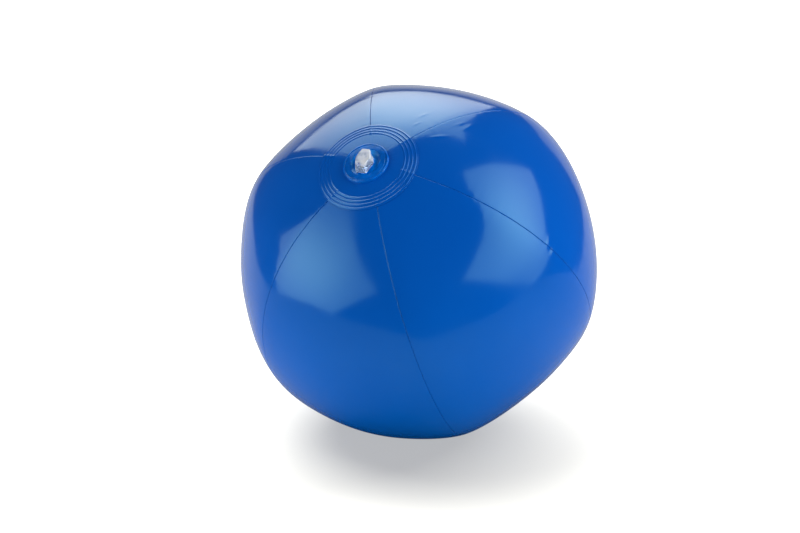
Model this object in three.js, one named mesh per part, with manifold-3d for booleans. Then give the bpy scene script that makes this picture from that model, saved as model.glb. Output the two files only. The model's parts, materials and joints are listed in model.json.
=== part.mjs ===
// A six-panel inflatable beach ball, standing on a floor with its valve leaning to the front.
//
// Millimetres and degrees, +Z up. The origin is on the floor, in the middle of the patch on which the
// ball stands. Inside the ball's own group +Z runs from its centre to where the panels meet. Six film
// panels reach from pole to pole, their long edges turned in and welded in pairs, and a film disc laps
// over the panels' ends at each pole. The valve is welded to the disc on top, both a little aside: a
// flange, a web that lets the stem be pushed in, the stem with its check flap, and a plug on a strap.

import * as THREE from "three";
import { mergeVertices } from "three/addons/utils/BufferGeometryUtils.js";
import Module from "manifold-3d";

// The inflated skin
const PANELS = 6;
const SEAM_RADIUS = 130; // centre to a seam, at the equator
const PANEL_RADIUS = 125.2; // centre to the middle of a panel, at the equator
const POLE_RADIUS = 116; // centre to the skin at a pole
const POLE_FLATNESS = 2.5; // the higher, the closer the flattening keeps to the poles
const RIDGE_WIDTH = 16; // along the equator, how far a seam's ridge is rounded to either side
const SEAM_TWIST = 6.3; // degrees that a seam wanders round the ball between the poles
const FILM = 0.25;

// The turned-in edges of the panels
const SEAM_GAP = 0.3; // between the edges of two panels
const SEAM_FIN = 4; // how far an edge is turned in
const SEAM_CREASE = 0.8; // how deep the skin dips at a seam
const CREASE_WIDTH = 3; // from the seam to where the dip ends

// How the ball stands
const STANCE_TILT = 37.2; // from upright to the panels' axis
const STANCE_HEADING = -115.6; // the side to which that axis leans, from +X
const SEAM_BEARING = 28; // from the downhill side to the first seam, at the equator
const PRESSED = 2.4; // how deep the floor presses into the skin

// Where the valve lies, which is welded a little aside of the panels' ends
const VALVE_OFFSET = 2.1; // degrees from the panels' axis to the valve's axis
const VALVE_BEARING = -72; // the side to which it lies, from the downhill side

// The discs at the poles
const DISC_RADIUS = 35.6;
const DISC_FILM = 0.3;
const DISC_LAP = 11.6; // how far a disc laps over the panels' ends
const DISC_MARGIN = 1.5; // from the disc's edge to the middle of its outermost weld ring
const WELD_RINGS = 4;
const WELD_PITCH = 2.5;
const WELD_RING_WIDTH = 1.7;
const WELD_RING_HEIGHT = 0.4;

// Clearances
const FIT_GAP = 0.3; // between pieces that are welded or seated on each other
const PLUG_CLEARANCE = 0.3; // around the plug's spigot in the stem
const SINK_CLEARANCE = 0.7; // around the plug when it is pushed in through the flange

// The valve's flange and web
const FLANGE_RADIUS = 16;
const FLANGE_THICKNESS = 0.8;
const FLANGE_LAP = 0.8; // how far the flange reaches in over the hole in the disc
const RIM_WIDTH = 1.4; // of the bead around the flange
const RIM_HEIGHT = 0.45;
const WEB_THICKNESS = 0.4;
const WEB_SAG = 0.8; // below a straight slope from the flange's bore to the stem's collar

// The stem and its check flap
const STEM_RADIUS = 5.2;
const STEM_BORE_RADIUS = 3.5;
const STEM_DEPTH = 13; // below the mouth, which is level with the flange
const COLLAR_WALL = 0.8; // how far the collar stands out around the stem
const COLLAR_DEPTH = 2.5; // of the collar below the mouth
const MOUTH_CHAMFER = 0.3;
const SEAT_WIDTH = 0.8; // of the ring inside the stem's foot that the flap closes on
const SEAT_HEIGHT = 1;
const FLAP_THICKNESS = 0.4;
const FLAP_LAP = 1.1; // of the flap over the ring's opening
const FLAP_TONGUE_WIDTH = 4;

// The plug and its strap
const PLUG_HEADING = 2; // of the grip's front facet, from the ball's downhill side
const GRIP_HEIGHT = 6;
const GRIP_FRONT = 9.2; // axis to the foot of the front facet
const GRIP_FRONT_WIDTH = 7.8;
const GRIP_WIDTH = 13.4; // across the corners in the middle
const GRIP_MIDDLE = 0.5; // of those corners in front of the axis
const GRIP_REAR = 5;
const GRIP_REAR_WIDTH = 8.4;
const FRONT_DRAFT = 2.2; // how far the front facet leans in, from foot to top
const SIDE_DRAFT = 1.7; // how far the middle corners lean in
const GRIP_DRAFT = 0.6; // how far the rest of the grip's corners lean in
const SCOOP_RADIUS = 5.5;
const SCOOP_DEPTH = 1;
const TAB_REACH = 6.8; // axis to the end of the tab
const TAB_WIDTH = 5.6;
const TAB_THICKNESS = 2.2;
const TAB_STEP = 0.2; // of the tab below the grip's top
const SPIGOT_LENGTH = 5;
const SPIGOT_WALL = 1.2;
const SPIGOT_CHAMFER = 0.5;
const CORE_ROOF = 2.6; // left above the hollow in the plug
const STRAP_WIDTH = 3.4;
const STRAP_THICKNESS = 0.7;
const STRAP_BULGE = 1.5;
const STRAP_INSET = 1.4; // from the tab's end to the middle of the strap

// How finely curves are divided
const PANEL_ROWS = 20;
const PANEL_COLUMNS = 8;
const DISC_SEGMENTS = 40;
const VALVE_SEGMENTS = 32;
const WEB_STEPS = 6;
const STRAP_STEPS = 12;

// How solids are cut and joined
const CUT_OVERRUN = 1; // how far a cutting solid reaches past what it cuts
const MERGE_DISTANCE = 1e-4; // within which points of a solid are one

// Finishes, of which each piece gets a material of its own
const FILM_FINISH = { color: 0x0055b4, roughness: 0.18, metalness: 0 };
const CLEAR_FINISH = { color: 0xdde6f0, roughness: 0.12, metalness: 0, transparent: true, opacity: 0.5 };

const wasm = await Module();
wasm.setup();

const radians = THREE.MathUtils.degToRad;
const seamStep = (2 * Math.PI) / PANELS;

// The shape of the skin

/** Radius on a seam's ridge at an angle from the pole. */
function ridgeRadius(colatitude) {
  return SEAM_RADIUS - (SEAM_RADIUS - POLE_RADIUS) * Math.abs(Math.cos(colatitude)) ** POLE_FLATNESS;
}

/** Bearing of a seam at a colatitude. */
function seamBearing(index, colatitude) {
  return radians(SEAM_BEARING) + index * seamStep + radians(SEAM_TWIST) * (colatitude / Math.PI - 0.5);
}

/** How far the skin has flattened at an angle from a seam, from 0 on the seam to 1 in mid panel. */
function flattening(angle) {
  const half = seamStep / 2;
  const ridge = RIDGE_WIDTH / SEAM_RADIUS;
  const eased = (a) => Math.hypot(a, ridge) - ridge;
  const softened = (half * eased(angle)) / eased(half);
  return (1 - Math.cos(half) / Math.cos(half - softened)) / (1 - Math.cos(half));
}

/** Angle from the pole that flattens the skin: on the valve's half, from the valve's own axis. */
function poleAngle(colatitude, bearing) {
  return colatitude < Math.PI / 2 ? polarPoint(1, colatitude, bearing).angleTo(valveAxis) : colatitude;
}

/** Radius of the skin's outer face at a colatitude and a bearing, both about the panels' axis. */
function skinRadius(colatitude, bearing) {
  const ridge = ridgeRadius(poleAngle(colatitude, bearing));
  const turned = THREE.MathUtils.euclideanModulo(bearing - seamBearing(0, colatitude), seamStep);
  const angle = Math.min(turned, seamStep - turned);
  const dip = (SEAM_RADIUS - PANEL_RADIUS) * Math.sin(colatitude) ** 2 * flattening(angle);
  const near = Math.max(0, 1 - (angle * ridge * Math.sin(colatitude)) / CREASE_WIDTH);
  return ridge - dip - SEAM_CREASE * near ** 2;
}

/** Point at a radius, a colatitude and a bearing about +Z. */
function polarPoint(radius, colatitude, bearing) {
  const across = radius * Math.sin(colatitude);
  return new THREE.Vector3(
    across * Math.cos(bearing),
    across * Math.sin(bearing),
    radius * Math.cos(colatitude),
  );
}

const valveAxis = polarPoint(1, radians(VALVE_OFFSET), radians(VALVE_BEARING));

/** Radius of what stands out furthest at a colatitude: the seams' ridges or the middles of the panels. */
function crownRadius(colatitude) {
  const bulge = Math.max(0, PANEL_RADIUS - SEAM_RADIUS);
  return ridgeRadius(colatitude) + bulge * Math.sin(colatitude) ** 2;
}

/** Colatitude at which the crown is a distance away from the pole's axis. */
function colatitudeAt(distance) {
  let colatitude = 0;
  for (let pass = 0; pass < 8; pass++) {
    colatitude = Math.asin(distance / crownRadius(colatitude));
  }
  return colatitude;
}

/** Profile point at a distance from the axis, an offset above the crown. */
function domePoint(distance, offset) {
  const colatitude = colatitudeAt(distance);
  return new THREE.Vector2(distance, crownRadius(colatitude) * Math.cos(colatitude) + offset);
}

// How the ball stands on the floor

const stance = new THREE.Quaternion().setFromEuler(
  new THREE.Euler(0, radians(STANCE_TILT), radians(STANCE_HEADING), "ZYX"),
);
const up = new THREE.Vector3(0, 0, 1).applyQuaternion(stance.clone().invert());

/** The lowest point of the skin as the ball stands, before the floor presses it flat. */
function lowestSkinPoint() {
  const step = radians(1);
  let lowest = new THREE.Vector3();
  for (let colatitude = Math.PI / 2; colatitude < Math.PI; colatitude += step) {
    for (let bearing = -Math.PI; bearing < Math.PI; bearing += step) {
      const point = polarPoint(skinRadius(colatitude, bearing), colatitude, bearing);
      if (point.dot(up) < lowest.dot(up)) {
        lowest = point;
      }
    }
  }
  return lowest;
}

const footPoint = lowestSkinPoint().addScaledVector(up, PRESSED);

/** Lifts a point of the skin that lies under the floor to a height above it. */
function pressFlat(point, height) {
  const below = footPoint.dot(up) + height - point.dot(up);
  return below > 0 ? point.addScaledVector(up, below) : point;
}

// Building blocks

/** Closed solid about +Z from profile points of distance and height, given either way round. */
function revolve(profile, segments) {
  const points = profile.map((point) => point.clone());
  if (THREE.ShapeUtils.area(points) < 0) {
    points.reverse();
  }
  if (points[0].x > 0) {
    points.push(points[0].clone());
  }
  return new THREE.LatheGeometry(points, segments).rotateX(Math.PI / 2);
}

/** Indexed geometry from points and triangles of point numbers. */
function indexedGeometry(points, triangles) {
  const geometry = new THREE.BufferGeometry().setFromPoints(points);
  geometry.setIndex(triangles);
  geometry.computeVertexNormals();
  return geometry;
}

/** Closed sheet between two grids, whose rows follow each other down from the valve. */
function thickSheet(outer, inner) {
  const rows = outer.length - 1;
  const columns = outer[0].length - 1;
  const face = (row, column) => row * (columns + 1) + column;
  const back = (row, column) => (rows + 1) * (columns + 1) + face(row, column);
  const triangles = [];
  const quad = (a, b, c, d) => triangles.push(a, b, c, a, c, d);
  for (let row = 0; row < rows; row++) {
    for (let column = 0; column < columns; column++) {
      quad(face(row, column), face(row + 1, column), face(row + 1, column + 1), face(row, column + 1));
      quad(back(row, column), back(row, column + 1), back(row + 1, column + 1), back(row + 1, column));
    }
    quad(face(row + 1, 0), face(row, 0), back(row, 0), back(row + 1, 0));
    quad(face(row, columns), face(row + 1, columns), back(row + 1, columns), back(row, columns));
  }
  for (let column = 0; column < columns; column++) {
    quad(face(0, column), face(0, column + 1), back(0, column + 1), back(0, column));
    quad(face(rows, column + 1), face(rows, column), back(rows, column), back(rows, column + 1));
  }
  return indexedGeometry([...outer.flat(), ...inner.flat()], triangles);
}

/** Closed solid between two outlines with as many points each, both counter-clockwise from above. */
function loft(foot, top) {
  const count = foot.length;
  const triangles = [];
  for (let i = 0; i < count; i++) {
    const next = (i + 1) % count;
    triangles.push(i, next, count + next, i, count + next, count + i);
  }
  for (let i = 1; i < count - 1; i++) {
    triangles.push(0, i + 1, i, count, count + i, count + i + 1);
  }
  return indexedGeometry([...foot, ...top], triangles);
}

/** Solid that can be joined to and cut from others. */
function solidFrom(geometry) {
  const bare = geometry.clone();
  bare.deleteAttribute("normal");
  bare.deleteAttribute("uv");
  const merged = mergeVertices(bare, MERGE_DISTANCE);
  return new wasm.Manifold(
    new wasm.Mesh({
      numProp: 3,
      vertProperties: new Float32Array(merged.attributes.position.array),
      triVerts: new Uint32Array(merged.index.array),
    }),
  );
}

/** Geometry of such a solid. */
function geometryFrom(solid) {
  const mesh = solid.getMesh();
  const geometry = new THREE.BufferGeometry();
  geometry.setAttribute("position", new THREE.BufferAttribute(new Float32Array(mesh.vertProperties), 3));
  geometry.setIndex(Array.from(mesh.triVerts));
  geometry.computeVertexNormals();
  return geometry;
}

/** Named piece in a finish. */
function piece(name, geometry, finish) {
  const mesh = new THREE.Mesh(geometry, new THREE.MeshStandardMaterial(finish));
  mesh.name = name;
  return mesh;
}

// The panels

const panelTop = colatitudeAt(DISC_RADIUS - DISC_LAP);

/** One row of a panel's outer and inner points, from its left fin's edge to its right fin's edge. */
function panelRow(index, colatitude) {
  const left = seamBearing(index, colatitude);
  const around = ridgeRadius(colatitude) * Math.sin(colatitude);
  const width = seamStep * around;
  const edge = SEAM_GAP / 2;
  const places = [edge];
  for (let column = 0; column <= PANEL_COLUMNS; column++) {
    places.push(THREE.MathUtils.lerp(CREASE_WIDTH, width - CREASE_WIDTH, column / PANEL_COLUMNS));
  }
  places.push(width - edge);

  const pointAt = (place, inset, deeper) => {
    const held = THREE.MathUtils.clamp(place, edge + inset, width - edge - inset);
    const bearing = left + held / around;
    const radius = skinRadius(colatitude, bearing) - inset - deeper;
    return pressFlat(polarPoint(radius, colatitude, bearing), inset);
  };
  const finAt = (place, inset) => pointAt(place, inset, SEAM_FIN - inset);
  const rowAt = (inset) => [
    finAt(edge, inset),
    ...places.map((place) => pointAt(place, inset, 0)),
    finAt(width - edge, inset),
  ];
  return { outer: rowAt(0), inner: rowAt(FILM) };
}

/** Film panel between two seams. */
function panelGeometry(index) {
  const rows = [];
  for (let row = 0; row <= PANEL_ROWS; row++) {
    rows.push(panelRow(index, THREE.MathUtils.lerp(panelTop, Math.PI - panelTop, row / PANEL_ROWS)));
  }
  return thickSheet(
    rows.map((row) => row.outer),
    rows.map((row) => row.inner),
  );
}

// The discs

/** Profile of a disc with its weld rings, from the edge of its hole, or from the axis where it has none. */
function discProfile(holeRadius) {
  const ringsFrom = DISC_RADIUS - DISC_MARGIN - (WELD_RINGS - 1) * WELD_PITCH;
  const inside = ringsFrom - WELD_RING_WIDTH;
  const spread = [0, 1 / 3, 2 / 3, 1].map((share) => THREE.MathUtils.lerp(holeRadius, inside, share));
  const top = spread.map((distance) => domePoint(distance, FIT_GAP + DISC_FILM));
  for (let ring = 0; ring < WELD_RINGS; ring++) {
    const middle = ringsFrom + ring * WELD_PITCH;
    top.push(
      domePoint(middle - WELD_RING_WIDTH / 2, FIT_GAP + DISC_FILM),
      domePoint(middle, FIT_GAP + DISC_FILM + WELD_RING_HEIGHT),
      domePoint(middle + WELD_RING_WIDTH / 2, FIT_GAP + DISC_FILM),
    );
  }
  top.push(domePoint(DISC_RADIUS, FIT_GAP + DISC_FILM));
  const under = [...spread, (inside + DISC_RADIUS) / 2, DISC_RADIUS];
  return [...top, ...under.map((distance) => domePoint(distance, FIT_GAP)).reverse()];
}

// Sizes of the valve that follow from each other

const plugReach = Math.max(
  Math.hypot(GRIP_FRONT, GRIP_FRONT_WIDTH / 2),
  Math.hypot(GRIP_MIDDLE, GRIP_WIDTH / 2),
  Math.hypot(GRIP_REAR, GRIP_REAR_WIDTH / 2),
  Math.hypot(TAB_REACH, TAB_WIDTH / 2),
);
const flangeBore = plugReach + SINK_CLEARANCE;
const flangeFoot = 2 * FIT_GAP + DISC_FILM;
const deck = domePoint(flangeBore, flangeFoot + FLANGE_THICKNESS).y;
const collarRadius = STEM_RADIUS + COLLAR_WALL;
const stemFoot = deck - STEM_DEPTH;
const strapFoot = deck - MOUTH_CHAMFER - STRAP_THICKNESS / 2;
const seatBore = STEM_BORE_RADIUS - SEAT_WIDTH;

// The flange and its web

/** Ring that is welded to the disc, with a bead around its edge. */
function flangeGeometry() {
  const top = flangeFoot + FLANGE_THICKNESS;
  const bead = FLANGE_RADIUS - RIM_WIDTH;
  const middle = (flangeBore + bead) / 2;
  const profile = [
    domePoint(flangeBore, flangeFoot),
    domePoint(middle, flangeFoot),
    domePoint(FLANGE_RADIUS, flangeFoot),
    domePoint(FLANGE_RADIUS, top),
    domePoint(FLANGE_RADIUS - RIM_WIDTH / 4, top + RIM_HEIGHT),
    domePoint(bead + RIM_WIDTH / 4, top + RIM_HEIGHT),
    domePoint(bead, top),
    domePoint(middle, top),
    domePoint(flangeBore, top),
  ];
  return revolve(profile, DISC_SEGMENTS);
}

/** Sagging web that slopes down from the flange's bore to the stem's collar, where it ends under the strap. */
function webGeometry() {
  const outside = new THREE.Vector2(flangeBore - FIT_GAP, deck - FLANGE_THICKNESS / 2 - WEB_THICKNESS / 2);
  const inside = new THREE.Vector2(
    collarRadius + FIT_GAP,
    strapFoot - STRAP_THICKNESS / 2 - FIT_GAP - WEB_THICKNESS,
  );
  const middle = outside.clone().lerp(inside, 0.5).sub(new THREE.Vector2(0, WEB_SAG));
  const under = new THREE.SplineCurve([outside, middle, inside]).getPoints(WEB_STEPS);
  const over = under.map((point) => new THREE.Vector2(point.x, point.y + WEB_THICKNESS));
  return revolve([...under, ...over.reverse()], VALVE_SEGMENTS);
}

// The stem and the flap

/** Tube with a collar at its mouth and a seat for the flap in its foot. */
function stemGeometry() {
  const profile = [
    new THREE.Vector2(STEM_BORE_RADIUS, deck),
    new THREE.Vector2(collarRadius - MOUTH_CHAMFER, deck),
    new THREE.Vector2(collarRadius, deck - MOUTH_CHAMFER),
    new THREE.Vector2(collarRadius, deck - COLLAR_DEPTH),
    new THREE.Vector2(STEM_RADIUS, deck - COLLAR_DEPTH - COLLAR_WALL),
    new THREE.Vector2(STEM_RADIUS, stemFoot),
    new THREE.Vector2(seatBore, stemFoot),
    new THREE.Vector2(seatBore, stemFoot + SEAT_HEIGHT),
    new THREE.Vector2(STEM_BORE_RADIUS, stemFoot + SEAT_HEIGHT + SEAT_WIDTH),
  ];
  return revolve(profile, VALVE_SEGMENTS);
}

/** Flap that closes the stem's foot from inside the ball, with the tongue that it hangs on at the rear. */
function flapGeometry() {
  const radius = seatBore + FLAP_LAP;
  const half = Math.min(FLAP_TONGUE_WIDTH / 2, radius / 2);
  const turn = Math.PI - Math.asin(half / radius);
  const outline = new THREE.Shape();
  outline.moveTo(-STEM_RADIUS, -half);
  outline.absarc(0, 0, radius, -turn, turn, false);
  outline.lineTo(-STEM_RADIUS, half);
  const flap = new THREE.ExtrudeGeometry(outline, {
    depth: FLAP_THICKNESS,
    bevelEnabled: false,
    curveSegments: VALVE_SEGMENTS,
  });
  return flap.translate(0, 0, stemFoot - FIT_GAP - FLAP_THICKNESS);
}

// The plug and its strap

const plugSeat = deck + FIT_GAP;
const tabFoot = plugSeat + GRIP_HEIGHT - TAB_STEP - TAB_THICKNESS;

/** The grip's six corners, counter-clockwise from the front left, at a share of its height. */
function gripOutline(share) {
  const corners = [
    [GRIP_FRONT - FRONT_DRAFT * share, GRIP_FRONT_WIDTH / 2 - GRIP_DRAFT * share],
    [GRIP_MIDDLE, GRIP_WIDTH / 2 - SIDE_DRAFT * share],
    [GRIP_DRAFT * share - GRIP_REAR, GRIP_REAR_WIDTH / 2 - GRIP_DRAFT * share],
  ];
  const height = plugSeat + GRIP_HEIGHT * share;
  const left = corners.map(([x, y]) => new THREE.Vector3(x, y, height));
  const right = corners.map(([x, y]) => new THREE.Vector3(x, -y, height)).reverse();
  return [...left, ...right];
}

/** Ball that cuts a scoop for a finger into one front flank of the grip, between two of its corners. */
function scoopSolid(front, middle) {
  const along = middle.clone().sub(front).normalize();
  const centre = front.clone().add(middle).multiplyScalar(0.5);
  const outward = centre.clone().projectOnPlane(along).setZ(0).normalize();
  centre.addScaledVector(outward, SCOOP_RADIUS - SCOOP_DEPTH);
  const ball = new THREE.SphereGeometry(SCOOP_RADIUS, VALVE_SEGMENTS, VALVE_SEGMENTS / 2);
  return solidFrom(ball.translate(centre.x, centre.y, centre.z));
}

/** Stopper with a faceted grip, a tab at its rear and a hollow spigot that goes into the stem. */
function plugGeometry() {
  const spigotRadius = STEM_BORE_RADIUS - PLUG_CLEARANCE;
  const coreRadius = spigotRadius - SPIGOT_WALL;
  const spigotFoot = plugSeat - SPIGOT_LENGTH;
  const coreTop = plugSeat + GRIP_HEIGHT - CORE_ROOF;
  const grip = loft(gripOutline(0), gripOutline(1));
  const [frontLeft, left, , , right, frontRight] = gripOutline(0.5);
  const spigot = revolve(
    [
      new THREE.Vector2(0, spigotFoot),
      new THREE.Vector2(spigotRadius - SPIGOT_CHAMFER, spigotFoot),
      new THREE.Vector2(spigotRadius, spigotFoot + SPIGOT_CHAMFER),
      new THREE.Vector2(spigotRadius, plugSeat + GRIP_HEIGHT / 2),
      new THREE.Vector2(0, plugSeat + GRIP_HEIGHT / 2),
    ],
    VALVE_SEGMENTS,
  );
  const core = revolve(
    [
      new THREE.Vector2(0, spigotFoot - CUT_OVERRUN),
      new THREE.Vector2(coreRadius, spigotFoot - CUT_OVERRUN),
      new THREE.Vector2(coreRadius, coreTop - coreRadius / 2),
      new THREE.Vector2(coreRadius / 2, coreTop),
      new THREE.Vector2(0, coreTop),
    ],
    VALVE_SEGMENTS,
  );
  const half = TAB_WIDTH / 2;
  const outline = new THREE.Shape();
  outline.moveTo(0, -half);
  outline.lineTo(0, half);
  outline.lineTo(half - TAB_REACH, half);
  outline.absarc(half - TAB_REACH, 0, half, Math.PI / 2, (3 * Math.PI) / 2, false);
  const tab = new THREE.ExtrudeGeometry(outline, {
    depth: TAB_THICKNESS,
    bevelEnabled: false,
    curveSegments: VALVE_SEGMENTS / 4,
  });
  const plug = solidFrom(grip)
    .subtract(scoopSolid(frontLeft, left))
    .subtract(scoopSolid(frontRight, right))
    .add(solidFrom(tab.translate(0, 0, tabFoot)))
    .add(solidFrom(spigot))
    .subtract(solidFrom(core));
  return geometryFrom(plug);
}

/** Strap that bulges from under the tab's end down to the stem's collar. */
function strapGeometry() {
  const topPlace = STRAP_INSET - TAB_REACH;
  const footPlace = -collarRadius - FIT_GAP;
  const path = new THREE.CubicBezierCurve3(
    new THREE.Vector3(topPlace, 0, tabFoot - FIT_GAP),
    new THREE.Vector3(topPlace - STRAP_BULGE / 2, 0, THREE.MathUtils.lerp(tabFoot, strapFoot, 0.5)),
    new THREE.Vector3(topPlace - STRAP_BULGE, 0, strapFoot),
    new THREE.Vector3(footPlace, 0, strapFoot),
  );
  const section = new THREE.Shape();
  section.moveTo(-STRAP_WIDTH / 2, -STRAP_THICKNESS / 2);
  section.lineTo(STRAP_WIDTH / 2, -STRAP_THICKNESS / 2);
  section.lineTo(STRAP_WIDTH / 2, STRAP_THICKNESS / 2);
  section.lineTo(-STRAP_WIDTH / 2, STRAP_THICKNESS / 2);
  return new THREE.ExtrudeGeometry(section, { steps: STRAP_STEPS, bevelEnabled: false, extrudePath: path });
}

// Putting the ball together

const ball = new THREE.Group();
ball.name = "ball";
for (let index = 0; index < PANELS; index++) {
  ball.add(piece(`panel_${index + 1}`, panelGeometry(index), FILM_FINISH));
}

const endDisc = piece("end_disc", revolve(discProfile(0), DISC_SEGMENTS), FILM_FINISH);
endDisc.rotation.x = Math.PI;
const valveDisc = revolve(discProfile(flangeBore + FLANGE_LAP), DISC_SEGMENTS);
const valveEnd = new THREE.Group();
valveEnd.name = "valve_end";
valveEnd.quaternion.setFromUnitVectors(new THREE.Vector3(0, 0, 1), valveAxis);
valveEnd.add(piece("valve_disc", valveDisc, FILM_FINISH));
ball.add(endDisc, valveEnd);

const valve = new THREE.Group();
valve.name = "valve";
valve.rotation.z = radians(PLUG_HEADING);
valve.add(
  piece("valve_flange", flangeGeometry(), CLEAR_FINISH),
  piece("valve_diaphragm", webGeometry(), CLEAR_FINISH),
  piece("valve_stem", stemGeometry(), CLEAR_FINISH),
  piece("check_flap", flapGeometry(), CLEAR_FINISH),
  piece("valve_plug", plugGeometry(), CLEAR_FINISH),
  piece("plug_tether", strapGeometry(), CLEAR_FINISH),
);
valveEnd.add(valve);

ball.quaternion.copy(stance);
ball.position.copy(footPoint).applyQuaternion(stance).negate();

const beachBall = new THREE.Group();
beachBall.name = "beach_ball";
beachBall.add(ball);

export default beachBall;
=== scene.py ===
"""Looks of an inflatable beach ball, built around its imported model, in a white studio.

Lengths are in metres. Angles are in degrees in the fields of classes and in radians elsewhere. Points
are rows of three coordinates. The valve's axes have their origin at the ball's centre, +Z out through
the valve and +X towards the front of its plug. The panels' axes lean a little from those, because the
valve and its disc are welded slightly aside of where the panels meet.
"""

import json
import logging
import math
from dataclasses import dataclass
from enum import Enum
from typing import Any, Iterable, Sequence

import bmesh
import bpy
import numpy as np
from bmesh.types import BMesh, BMVert
from bpy.types import Material, Mesh, Node, NodeSocket, Object
from mathutils import Matrix, Vector


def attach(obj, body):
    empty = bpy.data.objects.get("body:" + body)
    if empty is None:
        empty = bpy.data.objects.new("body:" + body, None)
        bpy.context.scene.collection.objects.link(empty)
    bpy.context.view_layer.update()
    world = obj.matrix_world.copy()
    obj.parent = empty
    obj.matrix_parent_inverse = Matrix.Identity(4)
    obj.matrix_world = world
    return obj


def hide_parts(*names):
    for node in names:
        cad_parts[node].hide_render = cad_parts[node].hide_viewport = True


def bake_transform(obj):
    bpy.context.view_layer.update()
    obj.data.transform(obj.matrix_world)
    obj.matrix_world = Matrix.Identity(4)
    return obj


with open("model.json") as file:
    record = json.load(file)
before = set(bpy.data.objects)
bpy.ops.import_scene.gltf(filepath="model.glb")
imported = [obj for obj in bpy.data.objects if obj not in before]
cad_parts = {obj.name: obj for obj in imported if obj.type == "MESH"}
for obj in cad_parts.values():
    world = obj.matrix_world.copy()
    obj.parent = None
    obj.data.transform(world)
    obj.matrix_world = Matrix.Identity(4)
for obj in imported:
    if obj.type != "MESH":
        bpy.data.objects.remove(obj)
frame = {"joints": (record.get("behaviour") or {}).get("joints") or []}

LOG = logging.getLogger("beach_ball")
MERGE_DISTANCE = 1e-7
# Where most of a noise's values lie
NOISE_SPAN = (0.3, 0.7)

Array = np.ndarray
Colour = tuple[float, float, float]
Pair = tuple[float, float]
Profile = Sequence[Pair]
Sockets = dict[str | int, Any]


class Body(Enum):
    """Bodies that the pieces move with."""

    BALL = "ball"
    STEM = "stem"
    PLUG = "plug"
    FLAP = "flap"


class Slot(Enum):
    """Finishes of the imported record."""

    BLUE_FILM = "blue_film"
    CLEAR_VINYL = "clear_vinyl"


class Pole(Enum):
    """Ends of the ball, with the CAD node of the disc at each."""

    VALVE = "valve_disc"
    FAR = "end_disc"


class Shows(Enum):
    """How a lamp shows on the ball."""

    FULLY = "shaded and mirrored"
    SHADED = "shaded only"
    MIRRORED = "mirrored only"


# Finishes


class NodeTree:
    """A node tree, with short ways to add to it."""

    def __init__(self, tree: bpy.types.NodeTree) -> None:
        """Takes over the tree of a material, a lamp or the world."""
        self.nodes, self.links = tree.nodes, tree.links

    def add(self, kind: str, inputs: Sockets | None = None, **settings: Any) -> Node:
        """Adds a node.

        Args:
            kind: The node's type.
            inputs: Values or other nodes' outputs for its sockets, by socket name or number.
            **settings: The node's own properties.

        Returns:
            The new node.
        """
        node = self.nodes.new(kind)
        for key, value in settings.items():
            setattr(node, key, value)
        self.fill(node, inputs or {})
        return node

    def fill(self, node: Node, inputs: Sockets) -> None:
        """Sets or links a node's sockets.

        Args:
            node: The node.
            inputs: Values or other nodes' outputs, by socket name or number.
        """
        for key, value in inputs.items():
            if isinstance(value, NodeSocket):
                self.links.new(value, node.inputs[key])
            else:
                node.inputs[key].default_value = value

    def spread(self, value: NodeSocket, span: Pair, result: Pair) -> NodeSocket:
        """Maps a span of a value to another span, smoothly and held at its ends."""
        inputs = {
            "Value": value,
            "From Min": span[0], "From Max": span[1],
            "To Min": result[0], "To Max": result[1],
        }
        return self.add("ShaderNodeMapRange", inputs, interpolation_type="SMOOTHSTEP").outputs["Result"]

    def tint(self, share: NodeSocket, low: Colour, high: Colour) -> NodeSocket:
        """Mixes two colours, by the share of the second; 6, 7 and 2 are the node's colour sockets."""
        mix = self.add("ShaderNodeMix", {0: share, 6: (*low, 1.0), 7: (*high, 1.0)}, data_type="RGBA")
        return mix.outputs[2]

    def rays(self, *kinds: str) -> NodeSocket:
        """Tells some kinds of rays from the rest.

        Args:
            *kinds: Names of the Light Path outputs.

        Returns:
            A value that is 1 for those rays and 0 for others.
        """
        path = self.add("ShaderNodeLightPath")
        joined = path.outputs[kinds[0]]
        for kind in kinds[1:]:
            either = {0: joined, 1: path.outputs[kind]}
            joined = self.add("ShaderNodeMath", either, operation="MAXIMUM").outputs[0]
        return joined


class Shader(NodeTree):
    """A material with one Principled surface, patterned over the piece's own coordinates."""

    def __init__(self, name: str) -> None:
        """Starts a material.

        Args:
            name: The material's name.
        """
        self.material = bpy.data.materials.new(name)
        self.material.use_nodes = True
        super().__init__(self.material.node_tree)
        self.surface = self.nodes["Principled BSDF"]
        self.place = self.add("ShaderNodeTexCoord").outputs["Object"]

    def noise(self, scale: float, detail: float = 3.0, roughness: float = 0.5) -> NodeSocket:
        """Noise of 0 to 1 over the piece; the scale is in cells to a metre."""
        inputs = {"Vector": self.place, "Scale": scale, "Detail": detail, "Roughness": roughness}
        return self.add("ShaderNodeTexNoise", inputs).outputs["Fac"]

    def bump(self, height: NodeSocket, depth: float, under: NodeSocket | None = None) -> NodeSocket:
        """Raises the surface by a height of 0 to 1.

        Args:
            height: The height.
            depth: How far the surface rises at a height of 1.
            under: A normal to add to.

        Returns:
            The raised surface's normal.
        """
        inputs: Sockets = {"Height": height, "Distance": depth, "Strength": 1.0}
        if under is not None:
            inputs["Normal"] = under
        return self.add("ShaderNodeBump", inputs).outputs["Normal"]


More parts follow.
